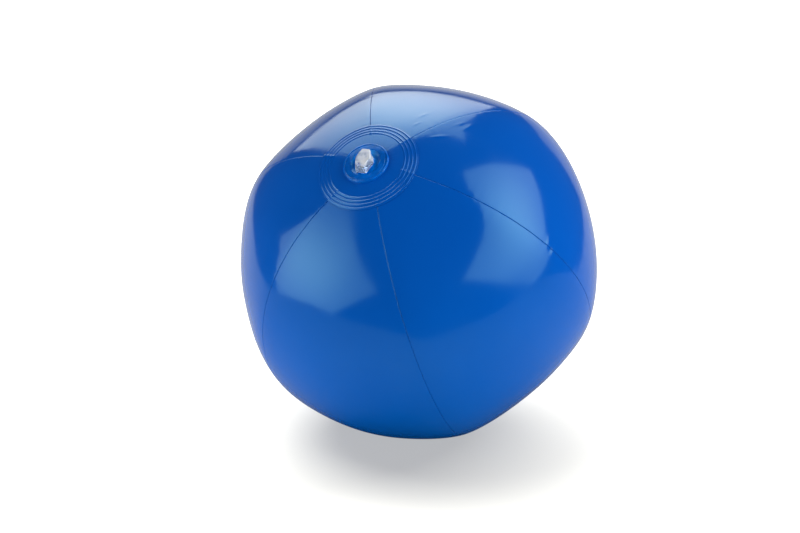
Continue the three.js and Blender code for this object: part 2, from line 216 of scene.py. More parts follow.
@dataclass(frozen=True)
class BlueFilm:
    """Glossy dyed film with faint clouds in its colour, handling smudges and a fine grain."""

    light: Colour = (0.0, 0.094, 0.49)
    deep: Colour = (0.0, 0.086, 0.46)
    highlight: Colour = (0.42, 1.0, 1.0)
    gloss: Pair = (0.11, 0.17)
    refraction: float = 1.5
    cloud_scale: float = 9.0
    smudge_scale: float = 28.0
    smudge_span: Pair = (0.35, 0.75)
    grain_scale: float = 900.0
    grain_depth: float = 0.000004
    ripple_scale: float = 55.0
    ripple_depth: float = 0.00006

    def material(self, name: str) -> Material:
        """Makes the film's material.

        Args:
            name: The material's name.

        Returns:
            The material.
        """
        shader = Shader(name)
        clouds = shader.spread(shader.noise(self.cloud_scale), NOISE_SPAN, (0.0, 1.0))
        smudges = shader.spread(shader.noise(self.smudge_scale, 5.0, 0.6), self.smudge_span, self.gloss)
        ripples = shader.bump(shader.noise(self.ripple_scale, 1.0), self.ripple_depth)
        grain = shader.bump(shader.noise(self.grain_scale), self.grain_depth, ripples)
        shader.fill(shader.surface, {
            "Base Color": shader.tint(clouds, self.deep, self.light),
            "Roughness": smudges,
            "IOR": self.refraction,
            "Specular Tint": (*self.highlight, 1.0),
            "Normal": grain,
        })
        return shader.material


@dataclass(frozen=True)
class ClearVinyl:
    """Clear moulded vinyl with cloudy patches and flow marks under a glossy skin."""

    light: Colour = (0.93, 0.96, 1.0)
    deep: Colour = (0.86, 0.91, 0.98)
    gloss: Pair = (0.08, 0.2)
    clearness: Pair = (0.9, 0.9)
    refraction: float = 1.46
    highlight: Colour = (1.0, 1.0, 1.0)
    opacity: Pair = (1.0, 1.0)
    haze_scale: float = 260.0
    cloud_span: Pair = (0.35, 0.65)
    flow_scale: float = 700.0
    flow_depth: float = 0.00003

    def material(self, name: str) -> Material:
        """Makes the vinyl's material.

        Args:
            name: The material's name.

        Returns:
            The material.
        """
        shader = Shader(name)
        haze = shader.noise(self.haze_scale, 4.0)
        clouds = shader.spread(haze, self.cloud_span, (0.0, 1.0))
        flow = shader.bump(shader.noise(self.flow_scale, 2.0), self.flow_depth)
        shader.fill(shader.surface, {
            "Base Color": shader.tint(clouds, self.deep, self.light),
            "Roughness": shader.spread(haze, NOISE_SPAN, self.gloss),
            "Transmission Weight": shader.spread(clouds, (0.0, 1.0), self.clearness),
            "IOR": self.refraction,
            "Specular Tint": (*self.highlight, 1.0),
            "Alpha": shader.spread(haze, NOISE_SPAN, self.opacity),
            "Normal": flow,
        })
        return shader.material


# The ball's shape


@dataclass(frozen=True)
class Skin:
    """Outer face of the inflated film, as radii from the ball's centre."""

    seam_radius: float = 0.130
    panel_radii: tuple[float, ...] = (0.1247, 0.1263, 0.1251, 0.1254, 0.1249, 0.1271)
    pole_radius: float = 0.116
    pole_flatness: float = 2.5
    ridge_width: float = 0.016
    first_seam: float = 26.0
    seam_twist: float = 6.3
    valve_offset: float = 2.1
    valve_bearing: float = -74.0
    disc_radius: float = 0.0356
    search_rounds: int = 8

    @property
    def panels(self) -> int:
        """Number of panels."""
        return len(self.panel_radii)

    @property
    def seam_step(self) -> float:
        """Angle from one seam to the next."""
        return math.tau / self.panels

    def ridge_radius(self, angle: Array) -> Array:
        """Radius on the ridge of a seam, at an angle from the pole."""
        sunk = self.seam_radius - self.pole_radius
        return self.seam_radius - sunk * np.abs(np.cos(angle)) ** self.pole_flatness

    def pole_angle(self, colatitude: Array, bearing: Array) -> Array:
        """Angle from the pole that flattens the skin, which on the upper half is the valve's.

        Args:
            colatitude: Angles from the panels' axis.
            bearing: Bearings about the panels' axis.

        Returns:
            The angles.
        """
        offset = math.radians(self.valve_offset)
        aside = np.cos(bearing - math.radians(self.valve_bearing))
        cosine = np.cos(colatitude) * math.cos(offset) + np.sin(colatitude) * math.sin(offset) * aside
        return np.where(colatitude < math.pi / 2, np.arccos(np.clip(cosine, -1, 1)), colatitude)

    def seam_bearing(self, index: int, colatitude: Array) -> Array:
        """Bearing of a seam, which wanders a little round the ball on its way from pole to pole."""
        wander = math.radians(self.seam_twist) * (colatitude / math.pi - 0.5)
        return math.radians(self.first_seam) + index * self.seam_step + wander

    def flattening(self, angle: Array) -> Array:
        """Share of a panel's flatness that is reached at an angle from its seam.

        Args:
            angle: Angles from the nearer seam.

        Returns:
            Shares from 0 on the seam to 1 in mid panel.
        """
        half = self.seam_step / 2
        ridge = self.ridge_width / self.seam_radius
        eased = np.hypot(angle, ridge) - ridge
        softened = half * eased / (math.hypot(half, ridge) - ridge)
        return (1 - math.cos(half) / np.cos(half - softened)) / (1 - math.cos(half))

    def radius(self, colatitude: Array, bearing: Array) -> Array:
        """Radius of the skin, apart from the crease of its seams.

        Args:
            colatitude: Angles from the panels' axis.
            bearing: Bearings about the panels' axis.

        Returns:
            The radii.
        """
        turned = np.mod(bearing - self.seam_bearing(0, colatitude), math.tau)
        index = np.minimum((turned / self.seam_step).astype(int), self.panels - 1)
        past = turned - index * self.seam_step
        dip = (self.seam_radius - np.array(self.panel_radii)[index]) * np.sin(colatitude) ** 2
        ridge = self.ridge_radius(self.pole_angle(colatitude, bearing))
        return ridge - dip * self.flattening(np.minimum(past, self.seam_step - past))

    def colatitude_at(self, distance: Array) -> Array:
        """Angle from a pole at which a ridge is a distance away from the pole's axis.

        Args:
            distance: The distances.

        Returns:
            The angles.
        """
        colatitude = np.zeros_like(distance, dtype=float)
        for _ in range(self.search_rounds):
            colatitude = np.arcsin(distance / self.ridge_radius(colatitude))
        return colatitude


def polar_points(radius: Array, colatitude: Array, bearing: Array) -> Array:
    """Points about an axis of the ball.

    Args:
        radius: Distances from the ball's centre.
        colatitude: Angles from the axis.
        bearing: Bearings about the axis.

    Returns:
        The points.
    """
    across = radius * np.sin(colatitude)
    x, y = across * np.cos(bearing), across * np.sin(bearing)
    return np.stack([x, y, radius * np.cos(colatitude)], axis=1)


def bell(away: Array, width: float) -> Array:
    """Bell curve that is 1 in its middle and dies out a little past half its width."""
    return np.exp(-2 * (2 * away / width) ** 2)


@dataclass(frozen=True)
class BallAxes:
    """Axes with their origin at the ball's centre, and the matrix from them to the frame."""

    matrix: Matrix

    @classmethod
    def of_valve(cls, hinge: Sequence[float]) -> "BallAxes":
        """Finds the valve's axes from its joints.

        Args:
            hinge: The check flap's hinge in the valve's axes.

        Returns:
            The axes.
        """
        joints = {joint["name"]: joint for joint in frame["joints"]}
        outward = Vector(joints["valve_sink"]["axis"]).normalized()
        sideways = Vector(joints["flap_open"]["axis"]).normalized()
        turn = Matrix((sideways.cross(outward), sideways, outward)).transposed()
        centre = Vector(joints["flap_open"]["pos_m"]) - turn @ Vector(hinge)
        return cls(Matrix.Translation(centre) @ turn.to_4x4())

    def without_offset(self, skin: Skin) -> "BallAxes":
        """The panels' axes, found by turning the valve's back by its offset."""
        side = Matrix.Rotation(math.radians(skin.valve_bearing), 3, "Z") @ Vector((0, 1, 0))
        return BallAxes(self.matrix @ Matrix.Rotation(-math.radians(skin.valve_offset), 4, side))

    @property
    def centre(self) -> Vector:
        """The ball's centre in the frame."""
        return self.matrix.translation

    def place(self, points: Array) -> Array:
        """Moves points from these axes to the frame."""
        matrix = np.array(self.matrix)
        return points @ matrix[:3, :3].T + matrix[:3, 3]

    def angles(self, points: Array) -> tuple[Array, Array]:
        """Colatitudes and bearings about these axes.

        Args:
            points: Points in the frame.

        Returns:
            The colatitudes and the bearings.
        """
        matrix = np.array(self.matrix.inverted())
        x, y, z = (points @ matrix[:3, :3].T + matrix[:3, 3]).T
        return np.arctan2(np.hypot(x, y), z), np.arctan2(y, x)


# Mesh helpers


def spin_profile(profile: Profile, steps: int, closed: bool) -> BMesh:
    """Turns a profile once round the axis.

    Args:
        profile: Distances from the axis and heights.
        steps: Number of steps round the axis.
        closed: Whether the profile's last point joins its first.

    Returns:
        The mesh.
    """
    mesh = bmesh.new()
    verts = [mesh.verts.new((distance, 0.0, height)) for distance, height in profile]
    followers = verts[1:] + verts[:1] if closed else verts[1:]
    edges = [mesh.edges.new(pair) for pair in zip(verts, followers)]
    bmesh.ops.spin(mesh, geom=verts + edges, cent=(0, 0, 0), axis=(0, 0, 1), angle=math.tau,
                   steps=steps, use_merge=True, use_duplicate=False)
    bmesh.ops.remove_doubles(mesh, verts=mesh.verts, dist=MERGE_DISTANCE)
    return mesh


def new_object(name: str, mesh: BMesh, sharp: float = 180.0) -> Object:
    """Makes an object of a finished mesh.

    Args:
        name: The object's name.
        mesh: The mesh, in the frame; it is freed.
        sharp: Angle in degrees past which an edge is shaded sharp.

    Returns:
        The object, at the origin.
    """
    data = bpy.data.meshes.new(name)
    mesh.to_mesh(data)
    mesh.free()
    data.shade_smooth()
    data.set_sharp_from_angle(angle=math.radians(sharp))
    piece = bpy.data.objects.new(name, data)
    bpy.context.scene.collection.objects.link(piece)
    return piece


def mesh_points(data: Mesh) -> Array:
    """Reads a mesh's points.

    Args:
        data: The mesh.

    Returns:
        The points.
    """
    points = np.empty(len(data.vertices) * 3)
    data.vertices.foreach_get("co", points)
    return points.reshape(-1, 3)


def move_points(data: Mesh, points: Array) -> None:
    """Gives a mesh's points new places."""
    data.vertices.foreach_set("co", points.ravel())
    data.update()


def thicken(piece: Object, thickness: float) -> None:
    """Gives a sheet its thickness, on the side away from its faces.

    Args:
        piece: The sheet.
        thickness: The thickness.
    """
    solidify = piece.modifiers.new("Film thickness", "SOLIDIFY")
    solidify.thickness = thickness
    solidify.offset = -1.0


def install(piece: Object, material: Material, nodes: Iterable[str],
            body: Body | None) -> None:
    """Dresses a piece and says what it stands for.

    Args:
        piece: The piece.
        material: Its material.
        nodes: CAD nodes that it replaces.
        body: The body that it moves with, or None where it bends between two.
    """
    piece.data.materials.append(material)
    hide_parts(*nodes)
    if body is not None:
        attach(piece, body.value)
    LOG.info("%s: %d points", piece.name, len(piece.data.vertices))


# Panels and discs


@dataclass(frozen=True)
class Wrinkle:
    """A short fold in the film beside a seam."""

    seam: int
    colatitude: float
    past_seam: float
    heading: float
    length: float
    width: float
    height: float

    def relief(self, along: Array, past: Array) -> Array:
        """How far the fold lifts the film.

        Args:
            along: Distances from the fold's middle, away from the valve.
            past: Distances past the seam.

        Returns:
            The heights.
        """
        turn = math.radians(self.heading)
        aside = past - self.past_seam
        lengthways = along * math.cos(turn) + aside * math.sin(turn)
        crossways = aside * math.cos(turn) - along * math.sin(turn)
        return self.height * bell(lengthways, self.length) * bell(crossways, self.width)


@dataclass(frozen=True)
class FilmPanels:
    """Six film panels that are cut flat, their long edges turned in, and blown up to the skin."""

    skin: Skin
    rows: int = 220
    columns: int = 72
    film: float = 0.00025
    disc_lap: float = 0.0116
    seam_gap: float = 0.0001
    roll_radius: float = 0.00035
    fin: float = 0.004
    fin_share: float = 0.02
    slack_height: float = 0.0002
    slack_waves: int = 4
    slack_pitch: Pair = (0.05, 0.1)
    slack_seed: int = 40
    pucker_height: float = 0.00005
    pucker_pitch: float = 0.0075
    pucker_beat: float = 5.3
    pucker_reach: float = 0.006
    pucker_seed: int = 80
    floor: float = 0.0
    wrinkles: tuple[Wrinkle, ...] = (
        Wrinkle(2, 26.5, 0.0156, 0, 0.012, 0.0030, 0.00022),
        Wrinkle(2, 21.5, 0.0096, 0, 0.007, 0.0024, 0.00020),
        Wrinkle(2, 24.0, -0.0098, -22, 0.013, 0.0028, 0.00020),
        Wrinkle(2, 32.8, -0.0062, 0, 0.012, 0.0028, 0.00018),
        Wrinkle(2, 35.0, -0.0112, 8, 0.015, 0.0030, 0.00018),
        Wrinkle(2, 62.2, -0.0250, 0, 0.005, 0.0024, 0.00012),
        Wrinkle(1, 63.6, 0.0015, 80, 0.008, 0.0022, 0.00070),
        Wrinkle(1, 66.6, -0.0010, 85, 0.006, 0.0020, 0.00055),
    )

    def cut(self, name: str) -> Object:
        """Cuts a flat panel of unit size, with a strip along each side for its fins.

        Args:
            name: The panel's name.

        Returns:
            The panel.
        """
        mesh = bmesh.new()
        bmesh.ops.create_grid(mesh, x_segments=self.columns, y_segments=self.rows, size=0.5)
        rim = 0.5 - MERGE_DISTANCE
        sides = [edge for edge in mesh.edges
                 if edge.is_boundary and all(abs(vert.co.x) > rim for vert in edge.verts)]
        strip = bmesh.ops.extrude_edge_only(mesh, edges=sides)["geom"]
        for vert in (item for item in strip if isinstance(item, BMVert)):
            vert.co.x += math.copysign(self.fin_share, vert.co.x)
        return new_object(name, mesh)

    def relief(self, index: int, colatitude: Array, past: Array, width: Array) -> Array:
        """How far the slack, puckers and wrinkles of the film lift it.

        Args:
            index: The panel's number.
            colatitude: Angles from the panels' axis.
            past: Distances past the panel's first seam.
            width: Widths of the panel.

        Returns:
            The heights.
        """
        rng = np.random.default_rng(self.slack_seed + index)
        along = colatitude * self.skin.seam_radius
        middle = np.sin(math.pi * past / width)
        height = np.zeros_like(past)
        for _ in range(self.slack_waves):
            pitch = rng.uniform(*self.slack_pitch)
            turn = rng.uniform(0, math.pi)
            phase = rng.uniform(0, math.tau)
            travel = along * math.cos(turn) + past * math.sin(turn)
            height += middle * self.slack_height / 2 * np.sin(math.tau * travel / pitch + phase)
        for seam, offset in ((index, past), (index + 1, past - width)):
            number = seam % self.skin.panels
            shift = np.random.default_rng(self.pucker_seed + number).uniform(0, math.tau, 2)
            wave = np.sin(math.tau * along / self.pucker_pitch + shift[0])
            wave *= np.sin(math.tau * along / (self.pucker_pitch * self.pucker_beat) + shift[1])
            height += self.pucker_height * wave * np.exp(-np.abs(offset) / self.pucker_reach)
            for wrinkle in self.wrinkles:
                if wrinkle.seam == number:
                    away = (colatitude - math.radians(wrinkle.colatitude)) * self.skin.seam_radius
                    height += wrinkle.relief(away, offset)
        return height

    def inflate(self, index: int, flat: Array) -> Array:
        """Blows a flat panel up to its place between two seams.

        Args:
            index: The panel's number.
            flat: The flat panel's points.

        Returns:
            The points about the panels' axes.
        """
        end = self.skin.colatitude_at(np.array([self.skin.disc_radius - self.disc_lap]))[0]
        colatitude = math.pi - end - (math.pi - 2 * end) * (flat[:, 1] + 0.5)
        ridge = self.skin.ridge_radius(colatitude)
        around = ridge * np.sin(colatitude)
        width = self.skin.seam_step * around
        share = np.clip(flat[:, 0] + 0.5, 0, 1)
        past = width * (1 - np.cos(math.pi * share)) / 2
        past = np.clip(past, self.seam_gap / 2, width - self.seam_gap / 2)
        bearing = self.skin.seam_bearing(index, colatitude) + past / around
        inside = np.minimum(past, width - past) - self.seam_gap / 2
        turned = np.maximum(0, self.roll_radius - inside)
        roll = self.roll_radius - np.sqrt(np.maximum(0, self.roll_radius ** 2 - turned ** 2))
        fin = np.where(np.abs(flat[:, 0]) > 0.5 + MERGE_DISTANCE, self.fin, 0)
        radius = self.skin.radius(colatitude, bearing) - roll - fin
        radius += self.relief(index, colatitude, past, width)
        return polar_points(radius, colatitude, bearing)

    def build(self, axes: BallAxes, finish: BlueFilm) -> None:
        """Makes the panels, in the order of their seams.

        Args:
            axes: The panels' axes.
            finish: Their film.
        """
        for index in range(self.skin.panels):
            number = index + 1
            panel = self.cut(f"film_panel_{number}")
            points = axes.place(self.inflate(index, mesh_points(panel.data)))
            points[:, 2] = np.maximum(points[:, 2], self.floor)
            move_points(panel.data, points)
            thicken(panel, self.film)
            material = finish.material(f"Blue film {number}")
            install(panel, material, [f"panel_{number}"], Body.BALL)


@dataclass(frozen=True)
class PoleDisc:
    """Film disc that laps over the panels' ends, with the rings and ridges of its weld."""

    skin: Skin
    pole: Pole
    hole_radius: float
    film: float = 0.0003
    lift: float = 0.00035
    margin: float = 0.0015
    rings: int = 4
    ring_pitch: float = 0.0025
    ring_width: float = 0.0015
    ring_height: float = 0.00032
    seam_height: float = 0.0003
    seam_width: float = 0.0016
    gather_height: float = 0.00002
    gathers: tuple[int, ...] = (23, 37, 58)
    steps: int = 240
    inner_rows: int = 16
    ring_rows: int = 56

    @property
    def weld_start(self) -> float:
        """Distance from the axis at which the weld begins."""
        return self.skin.disc_radius - 2 * self.margin - (self.rings - 1) * self.ring_pitch

    def relief(self, distance: Array, colatitude: Array, bearing: Array) -> Array:
        """How far the weld's rings, the seams below and gathers in the film lift the disc.

        Args:
            distance: Distances from the disc's axis.
            colatitude: Angles from the panels' axis.
            bearing: Bearings about the panels' axis.

        Returns:
            The heights.
        """
        height = np.zeros_like(distance)
        for ring in range(self.rings):
            middle = self.skin.disc_radius - self.margin - ring * self.ring_pitch
            away = np.abs(distance - middle) * 2 / self.ring_width
            height += self.ring_height * np.cos(math.pi / 2 * np.minimum(away, 1)) ** 2
        step = self.skin.seam_step
        past = bearing - self.skin.seam_bearing(0, colatitude)
        aside = np.abs(np.mod(past + step / 2, step) - step / 2)
        lapped = np.clip((distance - self.weld_start) / self.margin, 0, 1)
        height += self.seam_height * lapped * bell(aside * distance, self.seam_width)
        inside = np.clip((distance - self.hole_radius) / (self.weld_start - self.hole_radius), 0, 1)
        for number, count in enumerate(self.gathers):
            wave = np.sin(math.pi * inside) * np.sin(count * bearing + number)
            height += self.gather_height / len(self.gathers) * wave
        return height

    def build(self, axes: BallAxes, panel_axes: BallAxes, finish: BlueFilm) -> None:
        """Makes the disc: a flat round of film, draped over the skin with its faces outwards.

        Args:
            axes: The disc's axes.
            panel_axes: The axes of the panels below it.
            finish: Its film.
        """
        name = self.pole.name.lower()
        rows = np.linspace(self.hole_radius, self.weld_start, self.inner_rows, endpoint=False)
        rings = np.linspace(self.weld_start, self.skin.disc_radius, self.ring_rows)
        mesh = spin_profile([(distance, 0.0) for distance in (*rows, *rings)], self.steps, closed=False)
        disc = new_object(f"{name}_pole_disc", mesh)
        flat = mesh_points(disc.data)
        distance = np.hypot(flat[:, 0], flat[:, 1])
        bearing = np.arctan2(flat[:, 1], flat[:, 0])
        colatitude = self.skin.colatitude_at(distance)
        if self.pole is Pole.FAR:
            colatitude = math.pi - colatitude
        below = panel_axes.angles(axes.place(polar_points(np.ones_like(distance), colatitude, bearing)))
        radius = self.skin.radius(*below) + self.lift + self.relief(distance, *below)
        move_points(disc.data, axes.place(polar_points(radius, colatitude, bearing)))
        face = disc.data.polygons[0]
        if face.normal.dot(face.center - axes.centre) < 0:
            disc.data.flip_normals()
        thicken(disc, self.film)
        material = finish.material(f"Blue film {name} disc")
        install(disc, material, [self.pole.value], Body.BALL)


# The valve


@dataclass(frozen=True)
class Valve:
    """Clear moulded valve, apart from its plug: flange, web, stem, check flap and the plug's strap."""

    skin: Skin
    deck: float = 0.117355
    steps: int = 96
    sharp_angle: float = 35.0
    flange_radius: float = 0.016
    flange_bore: float = 0.01069
    flange_foot: float = 0.00036
    flange_top: float = 0.0017
    rim_width: float = 0.0014
    rim_height: float = 0.00045
    rim_steps: int = 8
    step_radius: float = 0.0137
    step_height: float = 0.00015
    web_thickness: float = 0.0004
    web_edge: float = -0.0006
    web_collar: float = -0.0017
    web_sag: float = 0.0008
    web_fold: float = -0.00105
    web_steps: int = 24
    collar_radius: float = 0.006
    collar_depth: float = 0.0025
    stem_radius: float = 0.0052
    stem_bore: float = 0.0035
    stem_depth: float = 0.013
    mouth_round: float = 0.0003
    mouth_steps: int = 4
    seat_bore: float = 0.0027
    seat_height: float = 0.001
    flap_radius: float = 0.0038
    flap_gap: float = 0.0003
    flap_thickness: float = 0.0004
    tongue_width: float = 0.004
    strap_width: float = 0.0034
    strap_thickness: float = 0.0007
    strap_start: float = -0.0054
    strap_head: float = 0.0036
    strap_foot: float = -0.00065
    strap_bulge: float = 0.0015
    strap_steps: int = 16

    @property
    def flap_hinge(self) -> tuple[float, float, float]:
        """The check flap's hinge, in the valve's axes."""
        return -self.stem_radius, 0.0, self.deck - self.stem_depth - self.flap_gap

    def dome(self, distance: float, offset: float) -> Pair:
        """Profile point at a distance from the axis, an offset above the skin's ridges."""
        colatitude = self.skin.colatitude_at(np.array([distance]))
        return distance, float((self.skin.ridge_radius(colatitude) * np.cos(colatitude))[0]) + offset

    def flange(self) -> BMesh:
        """Makes the flange: a ring with a bead round its edge and a low step inside it.

        Returns:
            Its mesh.
        """
        top, bead = self.flange_top, self.flange_radius - self.rim_width
        rim = []
        for angle in np.linspace(0, math.pi, self.rim_steps + 1):
            distance = bead + self.rim_width * (1 + math.cos(angle)) / 2
            rim.append(self.dome(distance, top + self.rim_height * math.sin(angle)))
        middle = (self.flange_bore + self.flange_radius) / 2
        profile = [
            self.dome(self.flange_bore, self.flange_foot),
            self.dome(middle, self.flange_foot),
            self.dome(self.flange_radius, self.flange_foot),
            *rim,
            self.dome(self.step_radius + self.step_height, top),
            self.dome(self.step_radius, top + self.step_height),
            self.dome(middle - self.step_height, top + self.step_height),
            self.dome(self.flange_bore, top),
        ]
        return spin_profile(profile, self.steps, closed=True)

    def web(self) -> BMesh:
        """Makes the web between the flange's bore and the stem's collar.

        Returns:
            Its mesh.
        """
        shares = np.linspace(0, 1, self.web_steps + 1)
        distances = self.flange_bore + (self.collar_radius - self.flange_bore) * shares
        rise = self.web_edge + (self.web_collar - self.web_edge) * shares
        heights = self.deck + rise - self.web_sag * np.sin(math.pi * shares)
        under = list(zip(distances, heights))
        over = [(distance, height + self.web_thickness) for distance, height in reversed(under)]
        return spin_profile(under + over, self.steps, closed=True)

    def stem(self) -> BMesh:
        """Makes the stem: a tube with a collar at its mouth and a seat in its foot.

        Returns:
            Its mesh.
        """
        foot, mouth = self.deck - self.stem_depth, self.deck
        collar_foot = mouth - self.collar_depth
        lip = [(self.collar_radius - self.mouth_round * (1 - math.cos(angle)),
                mouth - self.mouth_round * (1 - math.sin(angle)))
               for angle in np.linspace(math.pi / 2, 0, self.mouth_steps + 1)]
        profile = [
            (self.stem_bore, mouth),
            *lip,
            (self.collar_radius, collar_foot),
            (self.stem_radius, collar_foot - (self.collar_radius - self.stem_radius)),
            (self.stem_radius, foot),
            (self.seat_bore, foot),
            (self.seat_bore, foot + self.seat_height),
            (self.stem_bore, foot + self.seat_height + self.stem_bore - self.seat_bore),
        ]
        return spin_profile(profile, self.steps, closed=True)

    def flap(self) -> BMesh:
        """Makes the flap that closes the stem's foot, with the tongue that it hangs on.

        Returns:
            Its mesh.
        """
        mesh = bmesh.new()
        bmesh.ops.create_circle(mesh, cap_ends=True, segments=self.steps, radius=self.flap_radius)
        rear = [vert for vert in mesh.verts if vert.co.x < 0 and abs(vert.co.y) <= self.tongue_width / 2]
        for vert in rear:
            vert.co.x = -self.stem_radius
        sheet = bmesh.ops.extrude_face_region(mesh, geom=mesh.faces[:])["geom"]
        raised = [item for item in sheet if isinstance(item, BMVert)]
        bmesh.ops.translate(mesh, verts=raised, vec=(0, 0, -self.flap_thickness))
        bmesh.ops.translate(mesh, verts=mesh.verts, vec=(0, 0, self.flap_hinge[2]))
        return mesh

    def strap(self) -> BMesh:
        """Makes the strap that bulges from the plug's tab down to the collar.

        Returns:
            Its mesh.
        """
        head, foot = self.deck + self.strap_head, self.deck + self.strap_foot
        controls = np.array([
            (self.strap_start, head),
            (self.strap_start - self.strap_bulge / 2, (head + foot) / 2),
            (self.strap_start - self.strap_bulge, foot),
            (-self.collar_radius, foot),
        ])
        done = np.linspace(0, 1, self.strap_steps + 1)[:, None]
        left = 1 - done
        weights = (left ** 3, 3 * done * left ** 2, 3 * done ** 2 * left, done ** 3)
        path = sum(weight * control for weight, control in zip(weights, controls))
        slopes = np.gradient(path, axis=0)
        turns = np.unwrap(np.arctan2(slopes[:, 1], slopes[:, 0]))

        mesh = bmesh.new()
        stand = Matrix.Rotation(math.pi / 2 - turns[0], 4, "Y")
        size = Matrix.Diagonal((self.strap_thickness, self.strap_width, 1, 1))
        bmesh.ops.create_grid(mesh, x_segments=1, y_segments=1, size=0.5, matrix=stand @ size)
        bmesh.ops.translate(mesh, verts=mesh.verts, vec=(path[0, 0], 0, path[0, 1]))
        face = mesh.faces[:][0]
        for (here, there), turn in zip(zip(path, path[1:]), np.diff(turns)):
            face = bmesh.ops.extrude_discrete_faces(mesh, faces=[face])["faces"][0]
            bend = Matrix.Rotation(-turn, 3, "Y")
            bmesh.ops.rotate(mesh, verts=face.verts, cent=(here[0], 0, here[1]), matrix=bend)
            bmesh.ops.translate(mesh, verts=face.verts, vec=(there[0] - here[0], 0, there[1] - here[1]))
        bmesh.ops.holes_fill(mesh, edges=[edge for edge in mesh.edges if edge.is_boundary], sides=4)
        return mesh

    def build(self, axes: BallAxes, finish: ClearVinyl, welded: ClearVinyl, painted_light_vinyl: ClearVinyl) -> None:
        """Makes the pieces.

        Args:
            axes: The valve's axes.
            finish: The clear vinyl.
            welded: The same vinyl where it is welded to the film, coloured with the film's blue that
                shows through it and made lighter than the film as painted light against the shade on the
                ring.
            painted_light_vinyl: The same vinyl where the inside of the ball shows through it, painted a
                much lighter blue than the film: painted light standing in for the lit film inside and
                against the shade in the web's funnel.
        """
        plan = (
            # The flange's vinyl is painted lighter than the film, as painted light against the ring's
            # shade.
            ("valve_flange_ring", self.flange(), welded, "Flange vinyl with painted light", "valve_flange", Body.BALL),
            # The stem's and web's vinyl is painted a much lighter blue than the film, as painted light
            # against their shade.
            ("valve_stem_tube", self.stem(), painted_light_vinyl, "Stem vinyl with painted light", "valve_stem", Body.STEM),
            ("valve_check_flap", self.flap(), finish, "Clear flap", "check_flap", Body.FLAP),
            ("valve_web", self.web(), painted_light_vinyl, "Web vinyl with painted light", "valve_diaphragm", None),
            ("plug_strap", self.strap(), finish, "Clear strap", "plug_tether", None),
        )
        pieces = {}
        for name, mesh, vinyl, look, node, body in plan:
            bmesh.ops.recalc_face_normals(mesh, faces=mesh.faces)
            mesh.transform(axes.matrix)
            pieces[name] = new_object(name, mesh, self.sharp_angle)
            install(pieces[name], vinyl.material(look), [node], body)
        web, strap = pieces["valve_web"], pieces["plug_strap"]
        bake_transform(web)
        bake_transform(strap)


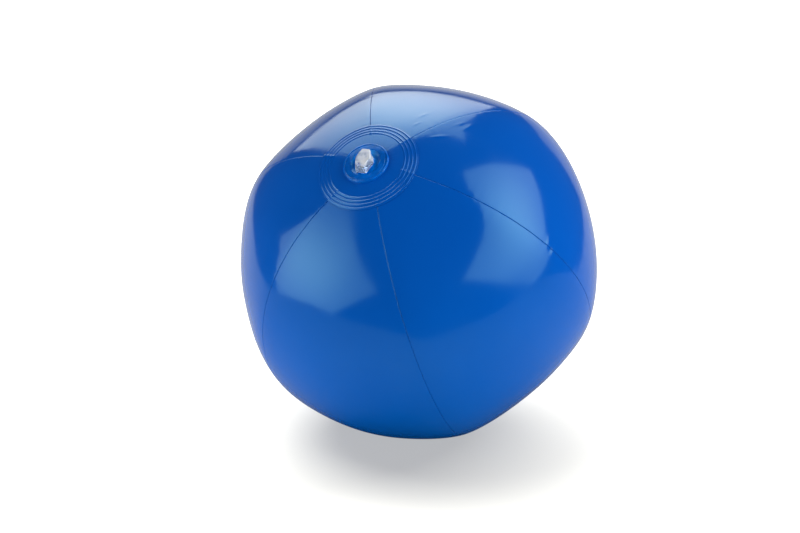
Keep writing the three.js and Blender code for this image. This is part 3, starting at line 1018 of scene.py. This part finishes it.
@dataclass(frozen=True)
class Plug:
    """Clear stopper with a faceted grip, scooped flanks, a tab at its rear and a hollow spigot."""

    seat: float = 0.117655
    height: float = 0.006
    foot_corners: Profile = ((0.0092, 0.0039), (0.0005, 0.0067), (-0.005, 0.0042))
    top_corners: Profile = ((0.007, 0.0033), (0.0005, 0.005), (-0.0044, 0.0036))
    tab_foot: float = 0.0036
    tab_head: float = 0.0058
    tab_reach: float = 0.0068
    tab_taper: float = 0.78
    scoop_inset: float = 0.0011
    scoop_depth: float = 0.001
    dimple_inset: float = 0.0014
    dimple_depth: float = 0.0003
    spigot_radius: float = 0.0032
    spigot_wall: float = 0.0012
    spigot_length: float = 0.005
    core_top: float = 0.004
    ring_spread: float = 1.2
    hard_angle: float = 30.0
    crispness: float = 0.5
    smoothness: int = 3
    rear_facing: float = 0.9
    flank_facing: float = 0.7
    flank_lean: float = 0.1

    def build(self, axes: BallAxes, finish: ClearVinyl) -> None:
        """Makes the plug.

        Args:
            axes: The valve's axes.
            finish: Its vinyl.
        """
        mesh = bmesh.new()
        self.raise_grip(mesh)
        self.pull_tab(mesh)
        self.press_scoops(mesh)
        self.sink_spigot(mesh)
        self.press_dimple(mesh)
        bmesh.ops.recalc_face_normals(mesh, faces=mesh.faces)
        self.crease(mesh)
        bmesh.ops.translate(mesh, verts=mesh.verts, vec=(0, 0, self.seat))
        mesh.transform(axes.matrix)
        plug = new_object("valve_stopper", mesh)
        smooth = plug.modifiers.new("Moulded rounding", "SUBSURF")
        smooth.levels = smooth.render_levels = self.smoothness
        install(plug, finish.material("Clear plug"), ["valve_plug"], Body.PLUG)

    def raise_grip(self, mesh: BMesh) -> None:
        """Raises the six-sided grip from its foot, its sides leaning in.

        Args:
            mesh: The mesh to add to.
        """
        rims = []
        for corners, height in ((self.foot_corners, 0.0), (self.top_corners, self.height)):
            outline = [*corners, *((x, -y) for x, y in reversed(corners))]
            verts = [mesh.verts.new((x, y, height)) for x, y in outline]
            rims += bmesh.ops.contextual_create(mesh, geom=verts)["faces"][0].edges
        bmesh.ops.bridge_loops(mesh, edges=rims)
        bmesh.ops.recalc_face_normals(mesh, faces=mesh.faces)
        for height in (self.tab_foot, self.tab_head):
            bmesh.ops.bisect_plane(mesh, geom=mesh.verts[:] + mesh.edges[:] + mesh.faces[:],
                                   plane_co=(0, 0, height), plane_no=(0, 0, 1))

    def pull_tab(self, mesh: BMesh) -> None:
        """Pulls the tab out of the upper part of the grip's rear.

        Args:
            mesh: The mesh to add to.
        """
        mesh.normal_update()
        rear = [face for face in mesh.faces
                if abs(face.normal.x) > self.rear_facing and face.calc_center_median().x < 0
                and self.tab_foot < face.calc_center_median().z < self.tab_head]
        end = bmesh.ops.extrude_discrete_faces(mesh, faces=rear)["faces"][0]
        for vert in end.verts:
            vert.co.x = -self.tab_reach
            vert.co.y *= self.tab_taper

    def press_scoops(self, mesh: BMesh) -> None:
        """Presses a scoop for a finger into each of the two front flanks.

        Args:
            mesh: The mesh to add to.
        """
        for side in (1, -1):
            mesh.normal_update()
            flank = [face for face in mesh.faces
                     if abs(face.normal.y) > self.flank_facing
                     and face.normal.x * face.normal.y * side > self.flank_lean
                     and face.calc_center_median().y * side > 0 and face.calc_center_median().x > 0]
            bmesh.ops.inset_region(
                mesh, faces=flank, thickness=self.scoop_inset, depth=-self.scoop_depth,
            )

    def sink_spigot(self, mesh: BMesh) -> None:
        """Lets the hollow spigot down from the grip's foot, its corners set out to round to its radius.

        Args:
            mesh: The mesh to add to.
        """
        mesh.normal_update()
        foot = min(mesh.faces, key=lambda face: face.calc_center_median().z)
        drops = (
            (self.spigot_radius, 0.0),
            (self.spigot_radius, -self.spigot_length),
            (self.spigot_radius - self.spigot_wall, -self.spigot_length),
            (self.spigot_radius - self.spigot_wall, self.core_top),
        )
        for radius, height in drops:
            foot = bmesh.ops.extrude_discrete_faces(mesh, faces=[foot])["faces"][0]
            for vert in foot.verts:
                bearing, reach = math.atan2(vert.co.y, vert.co.x), radius * self.ring_spread
                vert.co = (reach * math.cos(bearing), reach * math.sin(bearing), height)

    def press_dimple(self, mesh: BMesh) -> None:
        """Presses a shallow dimple into the grip's top.

        Args:
            mesh: The mesh to add to.
        """
        mesh.normal_update()
        top = max(mesh.faces, key=lambda face: face.calc_center_median().z)
        bmesh.ops.inset_region(mesh, faces=[top], thickness=self.dimple_inset, depth=-self.dimple_depth)

    def crease(self, mesh: BMesh) -> None:
        """Marks the edges that stay crisp when the plug is rounded: hard ones, but not down the spigot.

        Args:
            mesh: The mesh to mark.
        """
        layer = mesh.edges.layers.float.new("crease_edge")
        for edge in mesh.edges:
            low, high = sorted(vert.co.z for vert in edge.verts)
            down_spigot = low < -MERGE_DISTANCE and high > low + MERGE_DISTANCE
            if edge.calc_face_angle(0.0) > math.radians(self.hard_angle) and not down_spigot:
                edge[layer] = self.crispness


# The studio


@dataclass(frozen=True)
class Softbox:
    """A soft lamp that faces the ball, brightest in its middle."""

    name: str
    bearing: float
    elevation: float
    distance: float
    width: float
    height: float
    roll: float
    radiance: float
    edge_share: float
    shows: Shows = Shows.FULLY
    tint: Colour = (1.0, 1.0, 1.0)
    edge_reach: float = 0.6

    def direction(self) -> Vector:
        """Finds where the lamp hangs; a bearing of 0 is the camera's side and 90 the right.

        Returns:
            The direction from the ball to the lamp.
        """
        bearing, elevation = math.radians(self.bearing), math.radians(self.elevation)
        level = math.cos(elevation)
        return Vector((math.sin(bearing) * level, -math.cos(bearing) * level, math.sin(elevation)))

    def build(self, centre: Vector) -> Object:
        """Hangs the lamp.

        Args:
            centre: The ball's centre.

        Returns:
            The lamp.
        """
        light = bpy.data.lights.new(self.name, "AREA")
        light.shape = "RECTANGLE"
        light.size, light.size_y = self.width, self.height
        light.energy = self.radiance * math.pi * self.width * self.height
        light.color = self.tint
        light.use_nodes = True
        tree = NodeTree(light.node_tree)
        place = tree.add("ShaderNodeNewGeometry").outputs["Parametric"]
        ends = {0: place, 1: (0.5, 0.5, 0.0)}
        away = tree.add("ShaderNodeVectorMath", ends, operation="DISTANCE").outputs["Value"]
        falloff = tree.spread(away, (0.0, self.edge_reach), (1.0, self.edge_share))
        tree.fill(tree.nodes["Emission"], {"Strength": falloff})
        lamp = bpy.data.objects.new(self.name, light)
        turn = self.direction().to_track_quat("Z", "Y").to_matrix().to_4x4()
        lamp.matrix_world = (
            Matrix.Translation(centre + self.direction() * self.distance)
            @ turn @ Matrix.Rotation(math.radians(self.roll), 4, "Z")
        )
        lamp.visible_camera = False
        lamp.visible_diffuse = self.shows is not Shows.MIRRORED
        lamp.visible_glossy = self.shows is not Shows.SHADED
        bpy.context.scene.collection.objects.link(lamp)
        return lamp


@dataclass(frozen=True)
class Studio:
    """White floor, soft lamps and the camera."""

    ball_lamps: tuple[Softbox, ...] = (
        Softbox("Left softbox", -70, 13, 1.3, 1.25, 1.45, 46, 4.0, 0.35),
        Softbox("Right softbox", 68, 33, 1.3, 2.0, 1.25, 50, 5.2, 0.35),
        Softbox("Rear softbox", -167, 49, 1.3, 1.25, 1.4, -8, 5.3, 0.4, Shows.MIRRORED),
        Softbox("Backdrop", 180, 4, 1.5, 2.0, 0.66, 0, 0.75, 0.6),
        Softbox("Bounce card", 0, -90, 0.1182, 0.5, 0.5, 0, 0.56, 0.8, Shows.SHADED, (1.0, 1.05, 0.74)),
    )
    floor_lamps: tuple[Softbox, ...] = (
        Softbox("Floor strip", 166, 55, 1.5, 4.2, 1.75, 0, 10.0, 1.0),
        Softbox("Floor softbox", -134, 62, 1.5, 1.65, 1.65, 0, 10.8, 1.0),
    )
    floor_size: Pair = (1.8, 1.75)
    floor_middle: Pair = (0.0, 0.425)
    floor_height: float = -0.0002
    floor_white: Colour = (0.25, 0.247, 0.228)
    floor_grey: Colour = (0.09, 0.09, 0.09)
    floor_glow: float = 0.46
    gloom: float = 0.05
    depth_slack: float = 1.5
    camera_distance: float = 1.69
    camera_pitch: float = 20.0
    lens: float = 107.5
    sensor: float = 36.0
    aim_right: float = -0.0121
    aim_up: float = -0.0044

    def build(self, axes: BallAxes) -> None:
        """Sets up the studio.

        Args:
            axes: The valve's axes.
        """
        bpy.context.scene.view_settings.view_transform = "Standard"
        floor = self.lay_floor()
        for lamps, state in ((self.ball_lamps, "EXCLUDE"), (self.floor_lamps, "INCLUDE")):
            for lamp in lamps:
                self.aim_light(lamp.build(axes.centre), floor, state)
        self.light_world()
        self.place_camera(axes.centre)

    @staticmethod
    def aim_light(lamp: Object, floor: Object, state: str) -> None:
        """Keeps a lamp's light off the floor, or gives it to the floor alone.

        Args:
            lamp: The lamp.
            floor: The floor.
            state: EXCLUDE or INCLUDE.
        """
        lit = bpy.data.collections.new(f"{lamp.name} light")
        lit.objects.link(floor)
        lit.collection_objects[0].light_linking.link_state = state
        lamp.light_linking.receiver_collection = lit

    def lay_floor(self) -> Object:
        """Lays the white floor, which stays white for the camera but keeps the ball's shadow.

        Returns:
            The floor.
        """
        mesh = bmesh.new()
        size = Matrix.Diagonal((*self.floor_size, 1, 1))
        place = Matrix.Translation((*self.floor_middle, self.floor_height))
        bmesh.ops.create_grid(mesh, x_segments=1, y_segments=1, size=0.5, matrix=place @ size)
        floor = new_object("studio_floor", mesh)
        material = bpy.data.materials.new("White floor")
        material.use_nodes = True
        tree = NodeTree(material.node_tree)
        tree.nodes.clear()
        seen = tree.rays("Is Camera Ray", "Is Transmission Ray")
        shade = tree.tint(tree.rays("Is Glossy Ray"), self.floor_white, self.floor_grey)
        paper = tree.add("ShaderNodeBsdfDiffuse", {"Color": shade}).outputs[0]
        strength = tree.add("ShaderNodeMath", {0: seen, 1: self.floor_glow}, operation="MULTIPLY")
        glow = tree.add("ShaderNodeEmission", {"Strength": strength.outputs[0]}).outputs[0]
        both = tree.add("ShaderNodeAddShader", {0: paper, 1: glow}).outputs[0]
        tree.add("ShaderNodeOutputMaterial", {"Surface": both})
        floor.data.materials.append(material)
        return floor

    def light_world(self) -> None:
        """Makes the world white for the camera, also through clear pieces, and dim otherwise."""
        world = bpy.data.worlds.new("Studio")
        world.use_nodes = True
        bpy.context.scene.world = world
        tree = NodeTree(world.node_tree)
        tree.nodes.clear()
        white = tree.add("ShaderNodeBackground", {"Color": (1, 1, 1, 1)}).outputs[0]
        grey = (self.gloom, self.gloom, self.gloom, 1)
        dim = tree.add("ShaderNodeBackground", {"Color": grey}).outputs[0]
        path = tree.add("ShaderNodeLightPath").outputs
        # The world counts a ray one step deeper than it is, so the slack lets one step pass.
        depths = {0: path["Ray Depth"], 1: path["Transmission Depth"], 2: self.depth_slack}
        unmirrored = tree.add("ShaderNodeMath", depths, operation="COMPARE").outputs[0]
        mix = tree.add("ShaderNodeMixShader", {0: unmirrored, 1: dim, 2: white}).outputs[0]
        tree.add("ShaderNodeOutputWorld", {"Surface": mix})

    def place_camera(self, centre: Vector) -> None:
        """Places the camera in front of the ball, looking down at it.

        Args:
            centre: The ball's centre.
        """
        pitch = math.radians(self.camera_pitch)
        back = Vector((0, -math.cos(pitch), math.sin(pitch)))
        up = Vector((0, math.sin(pitch), math.cos(pitch)))
        lens = bpy.data.cameras.new("Camera")
        lens.lens, lens.sensor_width = self.lens, self.sensor
        camera = bpy.data.objects.new("Camera", lens)
        camera.location = centre + back * self.camera_distance
        aim = centre + Vector((self.aim_right, 0, 0)) + up * self.aim_up
        camera.rotation_euler = (aim - camera.location).to_track_quat("-Z", "Y").to_euler()
        bpy.context.scene.collection.objects.link(camera)
        bpy.context.scene.camera = camera


def main() -> None:
    """Builds the ball and its studio."""
    logging.basicConfig(level=logging.INFO, format="%(message)s")
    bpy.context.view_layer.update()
    skin = Skin()
    valve = Valve(skin)
    valve_axes = BallAxes.of_valve(valve.flap_hinge)
    panel_axes = valve_axes.without_offset(skin)
    film, clear = BlueFilm(), ClearVinyl()
    # Where the flange is welded on, the vinyl is coloured with the film's blue that shows through it,
    # and lighter than the film: painted light against the shade on and under the ring.
    welded = ClearVinyl(
        light=(0.0, 0.15, 0.7), deep=(0.0, 0.13, 0.62), gloss=(0.06, 0.12), clearness=(0.0, 0.0),
        highlight=(0.5, 1.0, 1.0), opacity=(0.75, 0.9), flow_depth=0.00001,
    )
    # The web and stem are painted a much lighter blue than the film: painted light standing in for the
    # lit film seen through them and lifting the shade in the web's funnel.
    painted_light_vinyl = ClearVinyl(
        light=(0.0, 0.24, 0.88), deep=(0.0, 0.19, 0.78), gloss=(0.1, 0.2), clearness=(0.0, 0.0),
        highlight=(0.2, 0.9, 1.0), opacity=(0.85, 1.0),
    )
    cloudy = ClearVinyl(
        light=(0.94, 0.97, 1.0), deep=(0.5, 0.68, 0.96), gloss=(0.05, 0.12), clearness=(0.75, 0.3),
        haze_scale=140.0,
    )

    FilmPanels(skin).build(panel_axes, film)
    PoleDisc(skin, Pole.VALVE, hole_radius=0.0106).build(valve_axes, panel_axes, film)
    PoleDisc(skin, Pole.FAR, hole_radius=0.0).build(panel_axes, panel_axes, film)
    valve.build(valve_axes, clear, welded, painted_light_vinyl)
    Plug().build(valve_axes, cloudy)
    Studio().build(valve_axes)


if __name__ == "__main__":
    main()
